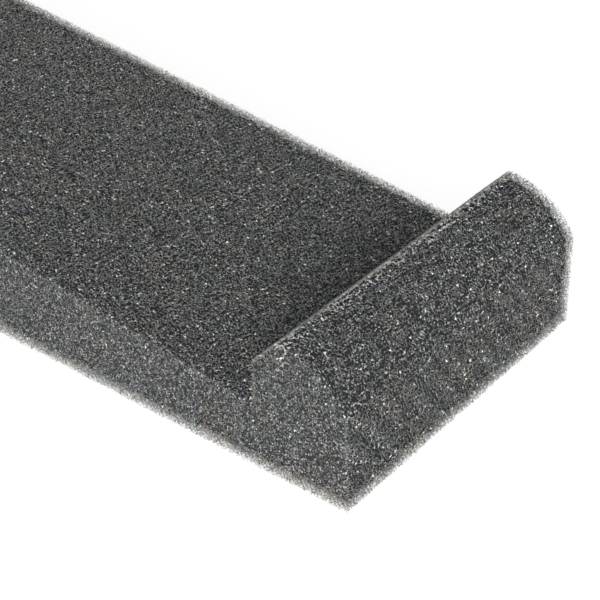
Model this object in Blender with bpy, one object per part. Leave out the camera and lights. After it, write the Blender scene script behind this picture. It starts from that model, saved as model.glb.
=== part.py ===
"""Speaker isolation pad: one contour-cut block of open-cell foam, modelled in metres with +Z up.

The origin is at the centre of the underside. The pad runs along Y with its lip at the -Y end, and it is as
wide as X. A studio monitor stands on the sloping seat with its front edge against the lip's stop face.
"""

import math

import bmesh
import bpy
from mathutils import Vector

# Overall block
PAD_LENGTH = 0.300
PAD_WIDTH = 0.100
BACK_HEIGHT = 0.050

# Seat, which climbs from the foot of the lip to the back edge
SEAT_FRONT_HEIGHT = 0.019

# Lip across the front end
LIP_DEPTH = 0.029
LIP_HEIGHT = 0.041
CREST_SETBACK = 0.021
FRONT_FACE_HEIGHT = 0.028
SHOULDER_BULGE = 0.0031
STOP_FACE_TOP = 0.033

# Marks that the cutting leaves
CUTTER_TURN_RADIUS = 0.0009
EDGE_SOFTNESS = 0.0005

# Fineness of the curves
SHOULDER_STEPS = 14
TURN_STEPS = 8
EDGE_STEPS = 2
SHARPEST_UNSOFTENED = math.radians(36)

# Finish
FOAM_COLOUR = (0.105, 0.108, 0.112, 1.0)
FOAM_ROUGHNESS = 1.0


def clear_scene():
    for item in list(bpy.data.objects):
        bpy.data.objects.remove(item, do_unlink=True)


def foam_material():
    """Charcoal open-cell foam: matt, with almost no shine."""
    material = bpy.data.materials.new("charcoal_foam")
    material.use_nodes = True
    shader = material.node_tree.nodes["Principled BSDF"]
    shader.inputs["Base Color"].default_value = FOAM_COLOUR
    shader.inputs["Roughness"].default_value = FOAM_ROUGHNESS
    shader.inputs["Metallic"].default_value = 0.0
    shader.inputs["Specular IOR Level"].default_value = 0.1
    return material


def arc_through(start, end, bulge, steps):
    """Points of the arc from start to end that stands out from its chord by bulge, on the left of the way."""
    chord = end - start
    half = chord.length / 2
    radius = (half * half + bulge * bulge) / (2 * bulge)
    outward = Vector((-chord.y, chord.x)).normalized()
    centre = (start + end) / 2 + outward * (bulge - radius)
    first = start - centre
    sweep = -2 * math.asin(half / radius)
    points = []
    for step in range(steps + 1):
        turn = sweep * step / steps
        spoke = Vector((
            first.x * math.cos(turn) - first.y * math.sin(turn),
            first.x * math.sin(turn) + first.y * math.cos(turn),
        ))
        points.append(centre + spoke)
    return points


def seat_height(distance):
    """Height of the seat at a distance behind the front face."""
    run = (distance - LIP_DEPTH) / (PAD_LENGTH - LIP_DEPTH)
    return SEAT_FRONT_HEIGHT + (BACK_HEIGHT - SEAT_FRONT_HEIGHT) * run


def cutter_turn():
    """Points of the small round hollow where the cutter turns from the stop face into the seat."""
    corner = Vector((LIP_DEPTH, SEAT_FRONT_HEIGHT))
    seat_angle = math.atan2(BACK_HEIGHT - SEAT_FRONT_HEIGHT, PAD_LENGTH - LIP_DEPTH)
    start = math.radians(90)
    sweep = math.radians(270) + seat_angle
    points = []
    for step in range(TURN_STEPS + 1):
        angle = start + sweep * step / TURN_STEPS
        spoke = Vector((math.cos(angle), math.sin(angle)))
        points.append(corner + spoke * CUTTER_TURN_RADIUS)
    return points


def side_outline():
    """Outline of the pad seen from its side, as distance behind the front face and height."""
    outline = [Vector((0, 0))]
    outline += arc_through(
        Vector((0, FRONT_FACE_HEIGHT)),
        Vector((CREST_SETBACK, LIP_HEIGHT)),
        SHOULDER_BULGE,
        SHOULDER_STEPS,
    )
    outline.append(Vector((LIP_DEPTH, STOP_FACE_TOP)))
    outline += cutter_turn()
    outline.append(Vector((PAD_LENGTH, seat_height(PAD_LENGTH))))
    outline.append(Vector((PAD_LENGTH, 0)))
    return outline


def soften_edges(mesh):
    """Takes the sharpness off the outer cut edges, where open cells crumble; inner corners stay crisp."""
    edges = []
    for edge in mesh.edges:
        if edge.is_convex and edge.calc_face_angle() > SHARPEST_UNSOFTENED:
            edges.append(edge)
    bmesh.ops.bevel(
        mesh,
        geom=edges,
        offset=EDGE_SOFTNESS,
        offset_type="OFFSET",
        segments=EDGE_STEPS,
        profile=0.5,
        affect="EDGES",
        clamp_overlap=True,
    )


def foam_pad():
    mesh = bmesh.new()
    near_side = []
    for point in side_outline():
        corner = (-PAD_WIDTH / 2, point.x - PAD_LENGTH / 2, point.y)
        near_side.append(mesh.verts.new(corner))
    side = mesh.faces.new(near_side)
    grown = bmesh.ops.extrude_face_region(mesh, geom=[side])
    moved = [item for item in grown["geom"] if isinstance(item, bmesh.types.BMVert)]
    bmesh.ops.translate(mesh, verts=moved, vec=(PAD_WIDTH, 0, 0))
    bmesh.ops.recalc_face_normals(mesh, faces=mesh.faces)
    soften_edges(mesh)
    data = bpy.data.meshes.new("foam_pad")
    mesh.to_mesh(data)
    mesh.free()
    data.shade_smooth()
    data.set_sharp_from_angle(angle=SHARPEST_UNSOFTENED)
    data.materials.append(foam_material())
    pad = bpy.data.objects.new("foam_pad", data)
    bpy.context.scene.collection.objects.link(pad)
    return pad


clear_scene()
foam_pad()
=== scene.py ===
import math
from itertools import product

import bmesh
import bpy
import numpy as np
from mathutils import Euler, Matrix, Vector


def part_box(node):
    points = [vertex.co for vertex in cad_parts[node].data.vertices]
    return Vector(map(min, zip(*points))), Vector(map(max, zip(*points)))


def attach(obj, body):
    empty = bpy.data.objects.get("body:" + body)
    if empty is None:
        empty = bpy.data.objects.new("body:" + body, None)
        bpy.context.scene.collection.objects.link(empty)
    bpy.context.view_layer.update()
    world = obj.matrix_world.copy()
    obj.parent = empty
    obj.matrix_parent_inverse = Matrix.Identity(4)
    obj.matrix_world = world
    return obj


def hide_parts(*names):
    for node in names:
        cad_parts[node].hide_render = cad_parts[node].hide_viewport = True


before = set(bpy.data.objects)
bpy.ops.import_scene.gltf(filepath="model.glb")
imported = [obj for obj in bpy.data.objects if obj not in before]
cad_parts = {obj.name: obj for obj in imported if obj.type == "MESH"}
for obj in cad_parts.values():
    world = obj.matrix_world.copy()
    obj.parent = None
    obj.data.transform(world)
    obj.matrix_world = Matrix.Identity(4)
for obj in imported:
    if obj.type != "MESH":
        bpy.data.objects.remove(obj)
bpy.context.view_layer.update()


# The camera: it stands to the left of the pad's low end and looks down on the lip.
# The picture is 600 by 600 pixels, and its sizes were fitted to the pad's own edges.
CAMERA_PLACE = (-0.281785, -0.329243, 0.266011)
CAMERA_AZIMUTH = math.radians(-50.316)
CAMERA_ELEVATION = math.radians(34.775)
CAMERA_ROLL = math.radians(-1.441)
LENS_MM = 98.26
SENSOR_MM = 36.0

lens = bpy.data.cameras.new("camera")
lens.lens = LENS_MM
lens.sensor_width = SENSOR_MM
lens.clip_start = 0.01
lens.clip_end = 20.0
camera = bpy.data.objects.new("camera", lens)
turn = Euler((math.radians(90) - CAMERA_ELEVATION, 0, CAMERA_AZIMUTH)).to_matrix()
turn = turn @ Matrix.Rotation(CAMERA_ROLL, 3, "Z")
camera.matrix_world = Matrix.Translation(CAMERA_PLACE) @ turn.to_4x4()
bpy.context.scene.collection.objects.link(camera)
bpy.context.scene.camera = camera


# The inside of the pad: one block of charcoal open-cell polyurethane foam, cut to its
# outline by a contour blade. It starts a quarter of a cell below the cut faces and further
# behind the sharp edges, because the eye sees that far in between the struts.

# How far the block stays behind the faces, and behind each kind of edge, in metres.
DEEP = 0.0003
LOOSE_FOOT = 0.0043
LOOSE_RIGHT = 0.0038
LOOSE_LEFT = 0.0006
LOOSE_BACK = 0.0038
LOOSE_RIDGE = 0.0009

# The width of its facets, how rough its faces are, and how ragged its edges.
GRID = 0.00098
ROUGH = 0.00015
RAGGED = 0.0009
BLOCK_SEED = 3

# The outline: a bend below STRAIGHT is no corner, and a run above FLAT is a flat face. It goes
# on under the floor, so that the underside doesn't count as a cut face.
WELD = 1e-6
STRAIGHT = math.radians(0.5)
FLAT = 0.001
UNDER = 0.1
SAG = 0.0007


def corners_of_outline(piece):
    """Corners of a piece's outline at mid-width, as rows of Y and Z, from the foot of its front upwards."""
    section = bmesh.new()
    section.from_mesh(piece.data)
    bmesh.ops.remove_doubles(section, verts=section.verts, dist=WELD)
    everything = section.verts[:] + section.edges[:] + section.faces[:]
    cut = bmesh.ops.bisect_plane(section, geom=everything, plane_co=(0, 0, 0), plane_no=(1, 0, 0))
    edges = {part for part in cut["geom_cut"] if isinstance(part, bmesh.types.BMEdge)}
    spots = {spot for edge in edges for spot in edge.verts}
    spot = min(spots, key=lambda one: (round(one.co.y, 6), one.co.z))
    corners = []
    while spots:
        spots.discard(spot)
        corners.append((spot.co.y, spot.co.z))
        onward = [e for e in spot.link_edges if e in edges and e.other_vert(spot) in spots]
        if not onward:
            break
        edge = max(onward, key=lambda one: one.other_vert(spot).co.z)
        spot = edge.other_vert(spot)
    section.free()
    corners = np.array(corners)
    runs = np.roll(corners, -1, 0) - corners
    heading = np.arctan2(runs[:, 1], runs[:, 0])
    bend = (heading - np.roll(heading, 1) + math.pi) % (2 * math.pi) - math.pi
    return corners[np.abs(bend) > STRAIGHT]


low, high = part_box("foam_pad")
half_width = high.x
outline = corners_of_outline(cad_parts["foam_pad"])
outline = outline[outline[:, 1] > FLAT]
outline = np.concatenate([[(low.y, -UNDER)], outline, [(high.y, -UNDER)]])

# The last flat runs before the underside, and the sharp edges between them: the crest and the
# lip's inner edge, both blunt, and the top of the back. The foam sags a little at the inner edge.
runs = np.roll(outline, -1, 0) - outline
shoulder, slope, stop, seat, rear = np.flatnonzero(np.hypot(*runs.T) > FLAT)[-6:-1]
sharp = ((shoulder, slope, LOOSE_RIDGE), (slope, stop, LOOSE_RIDGE), (seat, rear, LOOSE_BACK))
outline[slope + 1:stop + 1, 1] -= SAG
runs = np.roll(outline, -1, 0) - outline
run_lengths = np.hypot(*runs.T)
outward = np.column_stack([-runs[:, 1], runs[:, 0]]) / run_lengths[:, None]
passed = np.cumsum(run_lengths) - run_lengths


def to_outline(points):
    """How deep points lie behind the outline, which way is out, and how far round it that is."""
    place = points[:, 1:]
    nearest = np.full(len(points), np.inf)
    way = np.zeros((len(points), 2))
    round_it = np.zeros(len(points))
    inside = np.zeros(len(points), bool)
    for start, run, length, out, so_far in zip(outline, runs, run_lengths, outward, passed):
        offset = place - start
        along = np.clip(offset @ run / length ** 2, 0, 1)
        gap = np.hypot(*(offset - along[:, None] * run).T)
        closer = gap < nearest
        nearest[closer] = gap[closer]
        way[closer] = out
        round_it[closer] = so_far + along[closer] * length
        level = (offset[:, 1] < 0) != (offset[:, 1] < run[1])
        slant = run[0] / run[1] if run[1] else 0.0
        inside ^= level & (offset[:, 0] < offset[:, 1] * slant)
    return np.where(inside, nearest, -nearest), way, round_it


def behind(points, run):
    """How deep points lie behind the plane of one run of the outline."""
    return (outline[run] - points[:, 1:]) @ outward[run]


def loose_edges(points):
    """For each kind of edge, how deep points are behind the loose foam along it, and the way out."""
    side = half_width - np.abs(points[:, 0])
    profile, way, round_it = to_outline(points)
    under = points[:, 2] - low.z
    side_out = np.sign(points[:, :1]) * (1, 0, 0)
    profile_out = np.column_stack([np.zeros(len(points)), way])
    down = (0, 0, -1)
    loose = np.where(points[:, 0] < 0, LOOSE_LEFT, LOOSE_RIGHT)
    yield side + profile - loose, (side_out + profile_out) / 2
    yield side + under - LOOSE_FOOT, (side_out + down) / 2
    yield profile + under - LOOSE_FOOT, (profile_out + down) / 2
    for first, second, loose in sharp:
        both = outward[first] + outward[second]
        first, second = behind(points, first), behind(points, second)
        spare = np.where(np.minimum(first, second) > -FLAT, first + second - loose, np.inf)
        yield spare, np.array((0, *both)) / (both @ both)


def built(name, places, faces):
    """A new piece from points and faces."""
    mesh = bpy.data.meshes.new(name)
    mesh.from_pydata(places, [], faces)
    piece = bpy.data.objects.new(name, mesh)
    bpy.context.scene.collection.objects.link(piece)
    return piece


def meshed(piece):
    """Gives the piece the mesh that its modifiers make."""
    bpy.context.view_layer.update()
    shaped = piece.evaluated_get(bpy.context.evaluated_depsgraph_get())
    mesh = bpy.data.meshes.new_from_object(shaped)
    piece.modifiers.clear()
    piece.data = mesh


# The block's own outline lies DEEP behind the pad's, with the same corners.
turned = outward + np.roll(outward, 1, 0)
turned /= (1 + (outward * np.roll(outward, 1, 0)).sum(1))[:, None]
inner = outline - DEEP * turned
inner[inner[:, 1] < 0, 1] = low.z
count = len(inner)
places = [(x, y, z) for x in (DEEP - half_width, half_width - DEEP) for y, z in inner]
faces = [tuple(range(count)), tuple(range(2 * count - 1, count - 1, -1))]
for corner in range(count):
    after = (corner + 1) % count
    faces.append((corner, corner + count, after + count, after))
block = built("foam_block", places, faces)
grid = block.modifiers.new("grid", "REMESH")
grid.mode = "VOXEL"
grid.voxel_size = GRID
meshed(block)

# The remeshed skin is pushed out again at the corners that the grid blunted, roughened, and
# cut back raggedly along the edges.
places = np.empty(len(block.data.vertices) * 3)
block.data.vertices.foreach_get("co", places)
places = places.reshape(-1, 3)
facing = np.empty_like(places).ravel()
block.data.vertices.foreach_get("normal", facing)
chance = np.random.default_rng(BLOCK_SEED)
rag = chance.normal(0, RAGGED, len(places)).clip(-2 * RAGGED, 2 * RAGGED)
rough = chance.uniform(0, ROUGH, len(places)) * (places[:, 2] > low.z + GRID)
depth, way, round_it = to_outline(places)
blunted = np.where(half_width - np.abs(places[:, 0]) > depth + DEEP, (depth - DEEP).clip(0, GRID), 0)
moved = places - rough[:, None] * facing.reshape(-1, 3)
moved[:, 1:] += blunted[:, None] * way
for spare, out in loose_edges(places):
    moved -= np.clip(rag - spare, 0, None)[:, None] * out
block.data.vertices.foreach_set("co", moved.ravel())
block.data.update()
block.data.shade_smooth()


class Value:
    """One value that a node gives off; a sum or product with another value or a number adds a Math node."""

    def __init__(self, recipe, socket):
        self.recipe = recipe
        self.socket = socket

    def worked_out(self, operation, other):
        return self.recipe.add("ShaderNodeMath", {"operation": operation}, {0: self, 1: other})

    def __add__(self, other):
        return self.worked_out("ADD", other)

    __radd__ = __add__

    def __mul__(self, other):
        return self.worked_out("MULTIPLY", other)

    __rmul__ = __mul__


class Recipe:
    """A node tree that is being written down."""

    def __init__(self, tree):
        self.tree = tree
        tree.nodes.clear()

    def add(self, kind, settings, sockets, output=0):
        """Adds a node with its settings, then its sockets' values or links, and gives back one output."""
        node = self.tree.nodes.new(kind)
        for name, setting in settings.items():
            setattr(node, name, setting)
        for name, value in sockets.items():
            if isinstance(value, Value):
                self.tree.links.new(value.socket, node.inputs[name])
            else:
                node.inputs[name].default_value = value
        if node.outputs:
            return Value(self, node.outputs[output])

    def between(self, value, low, high, at_low=0.0, at_high=1.0):
        """Eases value from at_low to at_high as it goes from low to high."""
        settings = {"interpolation_type": "SMOOTHSTEP"}
        sockets = {"Value": value, "From Min": low, "From Max": high, "To Min": at_low, "To Max": at_high}
        return self.add("ShaderNodeMapRange", settings, sockets, "Result")

    def cells(self, place, width, output="Distance"):
        """How far a point is from the middle of its foam cell, in cell widths, or the cell's own shade."""
        settings = {"voronoi_dimensions": "3D", "feature": "F1"}
        return self.add("ShaderNodeTexVoronoi", settings, {"Vector": place, "Scale": 1 / width}, output)

    def mixed(self, amount, first, second):
        """A colour between two; sockets 6 and 7 and output 2 are the Mix node's colours."""
        return self.add("ShaderNodeMix", {"data_type": "RGBA"}, {"Factor": amount, 6: first, 7: second}, 2)


# Painted shade and painted glints: the block's dark bluish ground is painted shade for the foam that lies
# in shadow deep between the struts, and the bright spot in the middle of the paler pores is a painted
# glint, as if a film caught the light.
PORE_WIDTH = 0.0007
SPOT_CORE = 0.18
SPOT_RIM = 0.42
DULL = 0.3
BRIGHT = 0.8
# The pores' ground colour is painted shade, and the glint colour is a painted highlight.
PORE_SHADE_COLOUR = (0.033, 0.0355, 0.040, 1)
PAINTED_GLINT_COLOUR = (0.69, 0.71, 0.74, 1)
PORE_GLOSS = 0.1

shade_and_glint_look = bpy.data.materials.new("charcoal_foam_painted_shade_and_glints")
shade_and_glint_look.use_nodes = True
recipe = Recipe(shade_and_glint_look.node_tree)
place = recipe.add("ShaderNodeTexCoord", {}, {}, "Object")
spot = recipe.between(recipe.cells(place, PORE_WIDTH), SPOT_CORE, SPOT_RIM, 1.0, 0.0)
painted_glint = spot * recipe.between(recipe.cells(place, PORE_WIDTH, "Color"), DULL, BRIGHT)
colour = recipe.mixed(painted_glint, PORE_SHADE_COLOUR, PAINTED_GLINT_COLOUR)
sockets = {"Base Color": colour, "Roughness": 1.0, "Specular IOR Level": PORE_GLOSS}
shader = recipe.add("ShaderNodeBsdfPrincipled", {}, sockets)
recipe.add("ShaderNodeOutputMaterial", {}, {"Surface": shader})
block.data.materials.append(shade_and_glint_look)
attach(block, "root")
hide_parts("foam_pad")


# The cut faces: a blade that goes through open cells leaves a net of thin struts, and four
# of them meet at each corner of a cell. At the sharp edges the net is see-through, and
# single struts and loops stand out of it.

# A lattice cube's side and tilt, and how far its corners stray.
CELL = 0.0012
TILT = Euler((0.5, 0.35, 0.8))
WANDER = 0.0002

# The half-width of a strut's end and of a knot, the share of corners that are knots, and how
# much these sizes vary.
STRUT_SIZE = 0.00006
KNOT_SIZE = 0.0002
KNOTS = 0.04
UNEVEN = 0.25

# How far cut struts stand out of the faces, and the share of its length that a cut strut keeps
# at the least.
PROUD = 0.00015
SHORTEST_STUB = 0.35

# The most cell corners that one piece has, and the blank edge of its flat map.
NET_SEED = 7
MOST_CORNERS = 14000
MAP_EDGE = 0.02

# Cell corners within one lattice cube, in quarters of its side, and each one's four neighbours.
corners = np.array([n for n in product(range(4), repeat=3) if {0, 2} < set(n)])
diagonals = [d for d in product((-1, 0, 1), repeat=3) if sum(map(abs, d)) == 2]
known = set(map(tuple, corners))
ways = np.array([[d for d in diagonals if tuple((n + d) % 4) in known] for n in corners])
tilt = np.array(TILT.to_matrix())
centre = np.array((low + high) / 2)
half_box = np.array(high - low) / 2


def in_place(quarters):
    """Where lattice points, counted in quarters of a cube's side, lie in the pad."""
    return quarters * (CELL / 4) @ tilt.T + centre


def in_net(points, margin):
    """Which points the net holds, with a margin all round, and how deep they lie behind its outer face."""
    side = half_width - np.abs(points[:, 0])
    profile = to_outline(points)[0]
    spare = np.minimum.reduce([spare for spare, out in loose_edges(points)])

    # The spare is a sum of two depths, so the margin counts half as much again for it.
    near = (np.minimum(side, profile) < DEEP + ROUGH + margin) | (spare < RAGGED + 1.5 * margin)
    depth = np.minimum.reduce([side + PROUD, profile + PROUD, points[:, 2] - low.z])
    return near & (depth > -margin), depth


# The corners of all lattice cubes whose middles are in or close to the net.
reach = [range(-n, n + 1) for n in np.ceil(np.abs(tilt.T) @ half_box / CELL).astype(int) + 1]
cubes = np.stack(np.meshgrid(*reach, indexing="ij"), -1).reshape(-1, 3)
cubes = cubes[(np.abs(in_place(cubes * 4 + 2) - centre) < half_box + CELL).all(1)]
cubes = cubes[in_net(in_place(cubes * 4 + 2), CELL)[0]]
quarters = (cubes[:, None] * 4 + corners).reshape(-1, 3)
onward = np.tile(ways, (len(cubes), 1, 1))
chance = np.random.default_rng(NET_SEED)
places = in_place(quarters)
places += chance.normal(0, WANDER, places.shape).clip(-2 * WANDER, 2 * WANDER)
sizes = np.where(chance.random(len(places)) < KNOTS, KNOT_SIZE, STRUT_SIZE)
sizes *= chance.uniform(1 - UNEVEN, 1 + UNEVEN, len(places))
held, depth = in_net(places, 0.0)

# Each corner's neighbours, found by their numbers, and the way and distance to them. A number
# holds the three counts of quarters side by side, none of them below zero.
MOST_QUARTERS = 4096
COLUMNS = (1 << 28, 1 << 14, 1)
number = (quarters + MOST_QUARTERS) @ COLUMNS
order = np.argsort(number)
wanted = number[:, None] + onward @ COLUMNS
other = order[np.searchsorted(number, wanted, sorter=order).clip(0, len(number) - 1)]
absent = number[other] != wanted
ahead = np.where(absent[:, :, None], onward * (CELL / 4) @ tilt.T, places[other] - places[:, None])
distance = np.linalg.norm(ahead, axis=2)
ahead /= distance[:, :, None]
joined = ~absent & held[other] & held[:, None]
held &= joined.any(1)

# The net is made in pieces, by the face that a cell corner is nearest to. The lip's part ends
# just before the seat.
side = half_width - np.abs(places[:, 0])
profile, way, round_it = to_outline(places)
upper = side >= profile
foot = passed[seat] - 2 * FLAT
top_end = passed[rear]
areas = {
    "lip_net": (upper & (round_it < foot), round_it),
    "seat_net": (upper & (round_it >= foot) & (round_it < top_end), round_it),
    "back_net": (upper & (round_it >= top_end), round_it),
    "left_net": (~upper & (places[:, 0] < 0), places[:, 1]),
    "right_net": (~upper & (places[:, 0] > 0), places[:, 1]),
}
piece_of = np.full(len(places), -1)
names = []
for name, (area, spread) in areas.items():
    area = np.flatnonzero(area & held)
    count = math.ceil(len(area) / MOST_CORNERS)
    piece_of[area] = len(names) + np.argsort(np.argsort(spread[area])) * count // len(area)
    names += [f"{name}_{one + 1}" for one in range(count)]

# How much of each strut its piece has: all of it, up to the cut, or half where the next piece starts.
TINY = 1e-9
share = np.clip(depth[:, None] / np.maximum(depth[:, None] - depth[other], TINY), 0, 1)
share[absent | (depth[other] > 0) | (share < SHORTEST_STUB)] = 0
share[joined] = 0.5
share[joined & (piece_of[other] == piece_of[:, None])] = 1

# Each cell corner is a small tetrahedron, with a tip behind each strut. A strut grows from the
# ring of the three other tips.
tips = places[:, None] - sizes[:, None, None] * ahead
RINGS = np.array([[b for b in range(4) if b != a] for a in range(4)])


def lay_flat(mesh, flat, around):
    """Gives a mesh its own flat map, from a place for each point and the points around its faces."""
    flat = MAP_EDGE + (1 - 2 * MAP_EDGE) * (flat - flat.min(0)) / np.ptp(flat, axis=0)
    mesh.uv_layers.new(name="OFBake", do_init=False).uv.foreach_set("vector", flat[around].ravel())


def net(name, mine):
    """One piece of the net, from the numbers of its cell corners."""
    local = np.full(len(places), -1)
    local[mine] = np.arange(len(mine))
    spots = tips[mine]
    a, b, c = spots[:, RINGS].transpose(2, 0, 1, 3)
    wrong = (np.cross(b - a, c - a) * ahead[mine]).sum(2) < 0
    ring = np.where(wrong[:, :, None], RINGS[:, ::-1], RINGS) + 4 * np.arange(len(mine))[:, None, None]
    spots = spots.reshape(-1, 3)

    # Whole struts join two rings, which are turned so that the strut twists least.
    whole = share[mine] == 1
    one, k = np.nonzero(whole & (other[mine] > mine[:, None]))
    two = local[other[mine[one], k]]
    back_way = (other[mine[two]] == mine[one][:, None]).argmax(1)
    first = ring[one, k]
    second = ring[two, back_way][:, ::-1]
    turns = np.stack([np.roll(second, -n, 1) for n in range(3)])
    gaps = np.linalg.norm(spots[turns] - spots[first], axis=3).sum(2)
    second = turns[gaps.argmin(0), np.arange(len(second))]

    # Cut struts end in a rim of their own.
    one, k = np.nonzero((share[mine] > 0) & ~whole)
    base = ring[one, k]
    heading = ahead[mine][one, k]
    length = (share[mine] * distance[mine])[one, k]
    start = places[mine][one]
    rim = spots[base] - start[:, None]
    rim -= (rim * heading[:, None]).sum(2)[:, :, None] * heading[:, None]
    rim += (start + length[:, None] * heading)[:, None]
    tip = len(spots) + np.arange(len(base) * 3).reshape(-1, 3)
    spots = np.concatenate([spots, rim.reshape(-1, 3)])
    spots[:, 2] = np.maximum(spots[:, 2], low.z)

    near = np.concatenate([first, base])
    far = np.concatenate([second, tip])
    quads = np.stack([near, np.roll(near, -1, 1), np.roll(far, -1, 1), far], 2)
    caps = np.concatenate([tip, ring[share[mine] == 0]])
    around = np.concatenate([quads.ravel(), caps.ravel()])
    starts = np.concatenate([np.arange(0, quads.size, 4), quads.size + np.arange(0, caps.size, 3)])
    mesh = bpy.data.meshes.new(name)
    mesh.vertices.add(len(spots))
    mesh.vertices.foreach_set("co", spots.ravel())
    mesh.loops.add(len(around))
    mesh.loops.foreach_set("vertex_index", around)
    mesh.polygons.add(len(starts))
    mesh.polygons.foreach_set("loop_start", starts)
    mesh.update(calc_edges=True)
    mesh.shade_smooth()

    # The side faces are flat as they are, and the others are laid out along the outline.
    if name.startswith(("left", "right")):
        flat = spots[:, 1:]
    else:
        owner = mine[np.concatenate([np.repeat(np.arange(len(mine)), 4), np.repeat(one, 3)])]
        step = spots - places[owner]
        along = round_it[owner] + step[:, 1] * way[owner][:, 1] - step[:, 2] * way[owner][:, 0]
        flat = np.column_stack([spots[:, 0], along])
    lay_flat(mesh, flat, around)
    piece = bpy.data.objects.new(name, mesh)
    bpy.context.scene.collection.objects.link(piece)
    piece.parent = block
    return piece


# The struts' two greys drift into each other in patches a few cells wide.
STRUT_COLOURS = (0.337, 0.356, 0.362, 1), (0.377, 0.360, 0.338, 1)
STRUT_ROUGHNESS = 0.3
STRUT_GLOSS = 0.5
PATCH = 0.009
PATCH_LOW = 0.35
PATCH_HIGH = 0.65


def patchy(name, colours):
    """A material that drifts between two colours in patches."""
    look = bpy.data.materials.new(name)
    look.use_nodes = True
    recipe = Recipe(look.node_tree)
    place = recipe.add("ShaderNodeTexCoord", {}, {}, "Object")
    patch = recipe.add("ShaderNodeTexNoise", {}, {"Vector": place, "Scale": 1 / PATCH, "Detail": 1.0})
    colour = recipe.mixed(recipe.between(patch, PATCH_LOW, PATCH_HIGH), *colours)
    sockets = {"Base Color": colour, "Roughness": STRUT_ROUGHNESS, "Specular IOR Level": STRUT_GLOSS}
    shader = recipe.add("ShaderNodeBsdfPrincipled", {}, sockets)
    recipe.add("ShaderNodeOutputMaterial", {}, {"Surface": shader})
    return look


net_look = patchy("charcoal_foam_net", STRUT_COLOURS)
for index, name in enumerate(names):
    piece = net(name, np.flatnonzero(held & (piece_of == index)))
    piece.data.materials.append(net_look)


# The torn films: thin bits of the walls that once closed the cells, each between two struts of a corner.
# Their pale colour is painted glint. They stand as bright specks here and there, more of them on the
# upper faces, and many along the lip's crest, where they paint its lit rim.

# How many films are tried at a corner: on the upper faces, on the sides, and more at the crest for its
# painted light rim.
UPPER_GLINT_FILMS = 0.35
SIDE_GLINT_FILMS = 0.05
CREST_RIM_LIGHT_FILMS = 22
CREST_WIDTH = 0.0028

# How deep a film may lie, and the share of its two struts that it spans.
FILM_DEPTH = 0.0004
FILM_REACH = 0.95
# The films' pale colours are painted glints.
FILM_GLINT_COLOURS = (0.78, 0.82, 0.86, 1), (0.85, 0.83, 0.80, 1)

crest = passed[outline[:seat, 1].argmax()]
crest_rim_light = (1 - np.abs(round_it - crest) / CREST_WIDTH).clip(0)
tried = np.where(upper, UPPER_GLINT_FILMS, SIDE_GLINT_FILMS) + CREST_RIM_LIGHT_FILMS * crest_rim_light
torn = np.repeat(np.arange(len(places)), chance.poisson(tried * (held & (depth < FILM_DEPTH))))
one = chance.integers(0, 4, len(torn))
two = (one + chance.integers(1, 4, len(torn))) % 4
whole = joined[torn, one] & joined[torn, two]
torn, one, two = torn[whole], one[whole], two[whole]
ends = [places[torn] + FILM_REACH * (ahead[torn, k] * distance[torn, k, None]) for k in (one, two)]
spots = np.stack([places[torn], *ends], 1).reshape(-1, 3)
around = np.arange(len(spots))
glint_films = built("torn_glint_films", spots, around.reshape(-1, 3))
lay_flat(glint_films.data, spots[:, :2], around)
glint_films.parent = block
glint_films.data.materials.append(patchy("charcoal_foam_film_painted_glints", FILM_GLINT_COLOURS))


# The floor: a plain pale sheet. The pad gets its light back from the pale paint, and the
# camera sees a dim paint that glows nearly white, on which the soft shadow stays.
FLOOR_WIDTH = 8.0
FLOOR_PALE = 0.8
FLOOR_SEEN = 0.3
FLOOR_GLOW = 0.87

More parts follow.
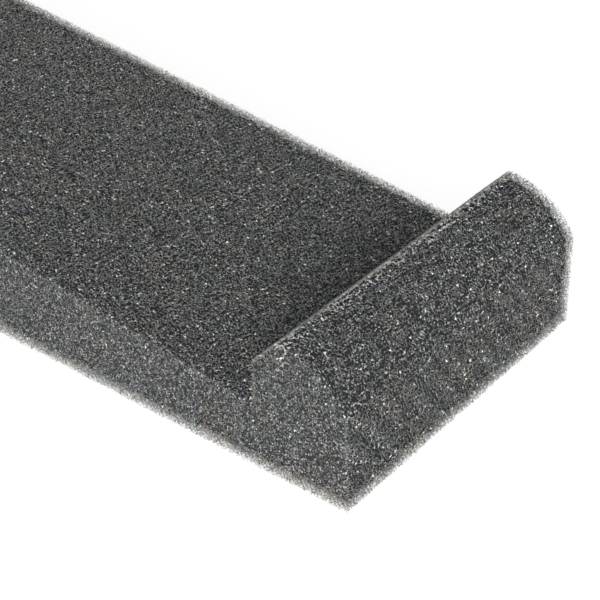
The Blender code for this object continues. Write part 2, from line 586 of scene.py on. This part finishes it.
sheet = bpy.data.meshes.new("floor")
half = FLOOR_WIDTH / 2
around = [(-half, -half, 0), (half, -half, 0), (half, half, 0), (-half, half, 0)]
sheet.from_pydata(around, [], [(0, 1, 2, 3)])
floor = bpy.data.objects.new("floor", sheet)
bpy.context.scene.collection.objects.link(floor)
paint = bpy.data.materials.new("floor")
paint.use_nodes = True
recipe = Recipe(paint.node_tree)
seen = recipe.add("ShaderNodeLightPath", {}, {}, "Is Camera Ray")
pale = recipe.add("ShaderNodeBsdfDiffuse", {}, {"Color": (FLOOR_PALE, FLOOR_PALE, FLOOR_PALE, 1)})
dim = recipe.add("ShaderNodeBsdfDiffuse", {}, {"Color": (FLOOR_SEEN, FLOOR_SEEN, FLOOR_SEEN, 1)})
glow = recipe.add("ShaderNodeEmission", {}, {"Strength": FLOOR_GLOW})
shown = recipe.add("ShaderNodeAddShader", {}, {0: dim, 1: glow})
both = recipe.add("ShaderNodeMixShader", {}, {0: seen, 1: pale, 2: shown})
recipe.add("ShaderNodeOutputMaterial", {}, {"Surface": both})
sheet.materials.append(paint)


# The light: a plain studio, with a large soft lamp at the pad's left, a weak one behind its
# right side, and an even pale sky that shows white.
SKY = 0.315
KEY_FROM = (-0.82, -0.52, 0.28)
LAMP_DISTANCE = 1.6
LAMP_WIDTH = 1.0
KEY_POWER = 34.5
KEY_COLOUR = (1.0, 0.995, 0.94)
FILL_FROM = (0.7, 0.6, 0.35)
FILL_POWER = 7.0
FILL_COLOUR = (1.0, 1.0, 1.0)


def soft_lamp(name, direction, power, colour):
    """A square lamp that faces the pad from a direction."""
    lamp = bpy.data.lights.new(name, "AREA")
    lamp.size = LAMP_WIDTH
    lamp.energy = power
    lamp.color = colour
    stand = bpy.data.objects.new(name, lamp)
    stand.location = Vector(direction).normalized() * LAMP_DISTANCE
    stand.rotation_euler = Vector(direction).to_track_quat("Z", "Y").to_euler()
    bpy.context.scene.collection.objects.link(stand)


soft_lamp("key_lamp", KEY_FROM, KEY_POWER, KEY_COLOUR)
soft_lamp("fill_lamp", FILL_FROM, FILL_POWER, FILL_COLOUR)

sky = bpy.data.worlds.new("studio")
sky.use_nodes = True
recipe = Recipe(sky.node_tree)
seen = recipe.add("ShaderNodeLightPath", {}, {}, "Is Camera Ray")
strength = SKY + (1 - SKY) * seen
air = recipe.add("ShaderNodeBackground", {}, {"Strength": strength})
recipe.add("ShaderNodeOutputWorld", {}, {"Surface": air})
bpy.context.scene.world = sky
bpy.context.scene.view_settings.view_transform = "Standard"
